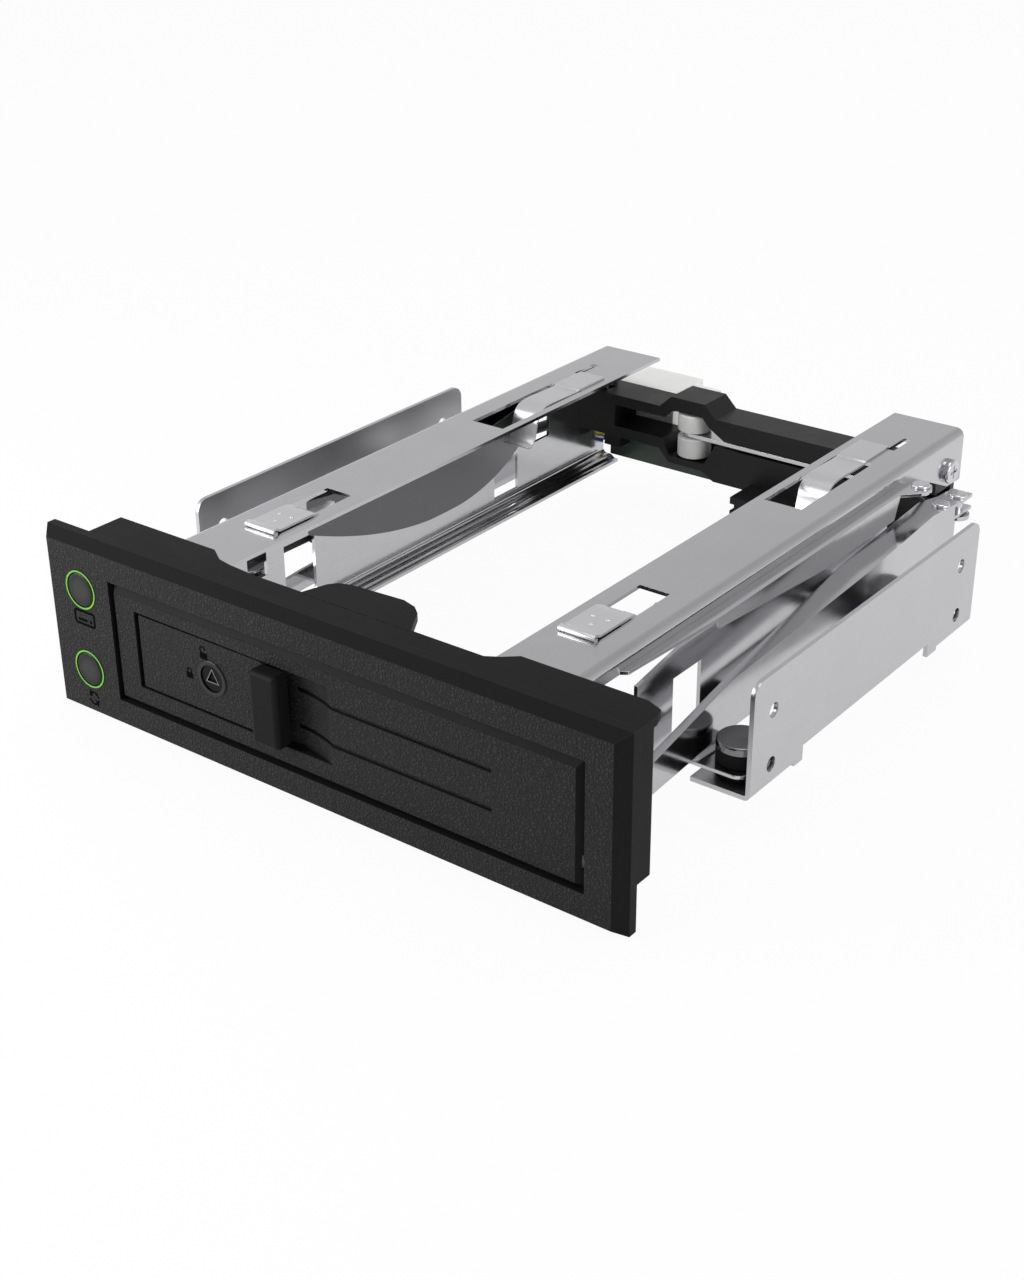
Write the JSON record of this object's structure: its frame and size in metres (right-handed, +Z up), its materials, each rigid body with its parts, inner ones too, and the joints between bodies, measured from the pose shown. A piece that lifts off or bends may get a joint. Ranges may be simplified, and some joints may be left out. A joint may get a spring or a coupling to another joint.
{
  "type": "hot swap drive cage",
  "caption": "Open frame that holds a bare hard drive in a computer bay, with a hinged front door, a latch with lock, an ejector arm, push buttons and rubber-mounted side brackets.",
  "frame": {"origin": "under the middle of the bounding box, at the bottom edge of the front bezel", "axes": "+Z up, +Y from the front bezel to the rear, +X to the right seen from the front"},
  "size_m": [0.147, 0.1888, 0.0416],
  "materials": {
    "black_plastic": "fine textured black moulding",
    "bar_plastic": "smooth matt black moulding",
    "zinc_steel": "bright zinc plated sheet",
    "spring_steel": "bright spring sheet",
    "pin_steel": "bright nickel plated",
    "damper_rubber": "black rubber",
    "white_plastic": "smooth white moulding",
    "green_guide": "translucent green light guide",
    "button_black": "satin black",
    "board_green": "solder mask",
    "contact_gold": "gold plated",
    "yellow_sheath": "wire sheath",
    "blue_sheath": "wire sheath",
    "black_sheath": "woven sleeve"
  },
  "bodies": {
    "cage": {"bezel_frame": "black_plastic", "left_rail": "zinc_steel", "right_rail": "zinc_steel", "left_bay_bracket": "zinc_steel", "right_bay_bracket": "zinc_steel", "left_carrier": "zinc_steel", "right_carrier": "zinc_steel", "damper_rubbers": "damper_rubber", "damper_caps": "pin_steel", "rear_bar": "bar_plastic", "rear_board": "board_green", "board_screws": "pin_steel", "bar_screws": "pin_steel", "bezel_screws": "pin_steel", "drive_connector": "bar_plastic", "drive_contacts": "contact_gold", "power_socket": "white_plastic", "power_pins": "pin_steel", "data_socket": "bar_plastic", "data_contacts": "contact_gold", "left_front_clip": "spring_steel", "right_front_clip": "spring_steel", "left_rear_clip": "spring_steel", "right_rear_clip": "spring_steel", "side_spring": "spring_steel", "link_guard": "zinc_steel", "guard_rivet": "pin_steel", "upper_light_ring": "green_guide", "lower_light_ring": "green_guide", "front_board": "board_green", "front_switches": "button_black", "hinge_pin": "pin_steel", "ejector_pivot": "pin_steel", "lead_sleeve": "black_sheath", "lead_clips": "bar_plastic", "lead_plugs": "white_plastic", "yellow_wire": "yellow_sheath", "blue_wire": "blue_sheath"},
    "door": {"door_panel": "black_plastic", "door_back": "black_plastic", "door_pads": "damper_rubber", "door_cam": "white_plastic"},
    "latch": {"latch_panel": "black_plastic", "latch_bolt": "pin_steel", "lock_ring": "pin_steel"},
    "lock": {"lock_barrel": "button_black", "lock_cam": "pin_steel"},
    "upper_button": {"upper_button_cap": "button_black"},
    "lower_button": {"lower_button_cap": "button_black"},
    "link": {"push_link": "zinc_steel", "link_rivets": "pin_steel"},
    "ejector": {"ejector_arm": "zinc_steel", "roller_axle": "pin_steel"},
    "roller_upper": {"upper_roller": "white_plastic"},
    "roller_lower": {"lower_roller": "white_plastic"}
  },
  "joints": [
    {"name": "door_hinge", "type": "hinge", "parent": "cage", "child": "door", "pos_m": [0.06, -0.08735, 0.0208], "axis": [0, 0, 1], "range_deg": [0, 95]},
    {"name": "latch_slide", "type": "slide", "parent": "door", "child": "latch", "axis": [1, 0, 0], "range_m": [0, 0.006], "stiffness_N_per_m": 300},
    {"name": "lock_turn", "type": "hinge", "parent": "latch", "child": "lock", "pos_m": [-0.0258, -0.09035, 0.0208], "axis": [0, -1, 0], "range_deg": [0, 90]},
    {"name": "upper_button_press", "type": "slide", "parent": "cage", "child": "upper_button", "axis": [0, 1, 0], "range_m": [0, 0.001], "stiffness_N_per_m": 400},
    {"name": "lower_button_press", "type": "slide", "parent": "cage", "child": "lower_button", "axis": [0, 1, 0], "range_m": [0, 0.001], "stiffness_N_per_m": 400},
    {"name": "link_slide", "type": "slide", "parent": "cage", "child": "link", "axis": [0, 1, 0], "range_m": [0, 0.00238]},
    {"name": "ejector_swing", "type": "hinge", "parent": "cage", "child": "ejector", "pos_m": [0.046, 0.07365, 0.0234], "axis": [0, 0, 1], "range_deg": [0, 10.5]},
    {"name": "upper_roller_spin", "type": "hinge", "parent": "ejector", "child": "roller_upper", "pos_m": [-0.0178, 0.07395, 0.0264], "axis": [0, 0, 1], "continuous": true},
    {"name": "lower_roller_spin", "type": "hinge", "parent": "ejector", "child": "roller_lower", "pos_m": [-0.0178, 0.07395, 0.02], "axis": [0, 0, 1], "continuous": true}
  ],
  "couplings": [
    {"joint": "link_slide", "follows": "door_hinge", "m_per_rad": 0.0014234},
    {"joint": "ejector_swing", "follows": "door_hinge", "ratio": 0.10947}
  ]
}
